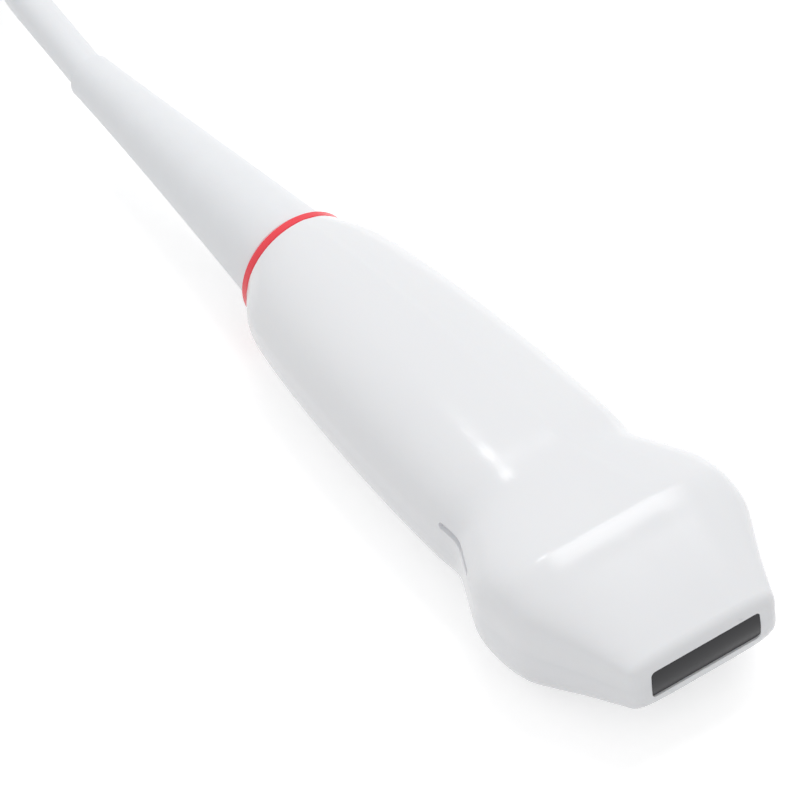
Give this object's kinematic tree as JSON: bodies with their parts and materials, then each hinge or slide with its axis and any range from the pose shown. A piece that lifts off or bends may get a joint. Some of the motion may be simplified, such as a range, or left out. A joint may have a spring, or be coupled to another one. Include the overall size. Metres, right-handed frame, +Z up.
{
  "type": "ultrasound transducer probe",
  "caption": "Hand-held ultrasound scan head with a flat acoustic lens, a marker ring, a tapered strain relief, a wound cable and a console connector with a turning lock.",
  "frame": {"origin": "middle of the underside of the handle with its strain relief, on the surface they lie on", "axes": "+X out of the lens, +Y along the array, +Z up from the broad face that it lies on"},
  "size_m": [0.5047, 0.066, 0.0575],
  "materials": {
    "shell": "moulded gloss white",
    "marker": "moulded red",
    "boot": "soft white moulding",
    "lens": "dark silicone",
    "matching": "filled epoxy",
    "ceramic": "fired ceramic",
    "backing": "loaded epoxy",
    "carrier": "moulded",
    "flex": "polyimide film",
    "circuit_board": "solder mask",
    "component": "moulded",
    "screen": "folded sheet",
    "steel": "plated",
    "core": "bundled cores",
    "cable_jacket": "white jacket",
    "tie": "woven strap",
    "connector_shell": "moulded",
    "connector_skirt": "moulded",
    "insulator": "moulded",
    "contact": "gold plated",
    "knob": "moulded"
  },
  "bodies": {
    "probe": {"housing_top": "shell", "housing_bottom": "shell", "marker_ring": "marker", "strain_relief": "boot", "acoustic_lens": "lens", "matching_layer_outer": "matching", "matching_layer_inner": "matching", "element_array": "ceramic", "backing_block": "backing", "array_carrier": "carrier", "flex_circuit_top": "flex", "flex_circuit_bottom": "flex", "flex_sockets": "insulator", "interconnect_board": "circuit_board", "tuning_coils": "component", "signal_chips": "component", "shield_sleeve": "screen", "coax_fan": "core", "cable_clamp": "steel", "clamp_screws": "steel", "cable_end": "cable_jacket", "cable_probe_run": "cable_jacket", "cable_hank": "cable_jacket", "hank_tie": "tie", "cable_plug_run": "cable_jacket", "cable_plug_end": "cable_jacket", "connector_boot": "boot", "connector_base": "connector_skirt", "connector_cover": "connector_shell", "connector_screws": "steel", "contact_block": "insulator", "contact_pins": "contact", "connector_board": "circuit_board", "connector_coax_fan": "core", "shaft_bush": "steel"},
    "lock": {"lock_knob": "knob", "lock_shaft": "steel", "shaft_clip": "steel", "knob_screw": "steel"}
  },
  "joints": [
    {"name": "lock_turn", "type": "hinge", "parent": "probe", "child": "lock", "pos_m": [-0.37049, -0.0072, 0], "axis": [0, 0, 1], "range_deg": [0, 90]}
  ]
}
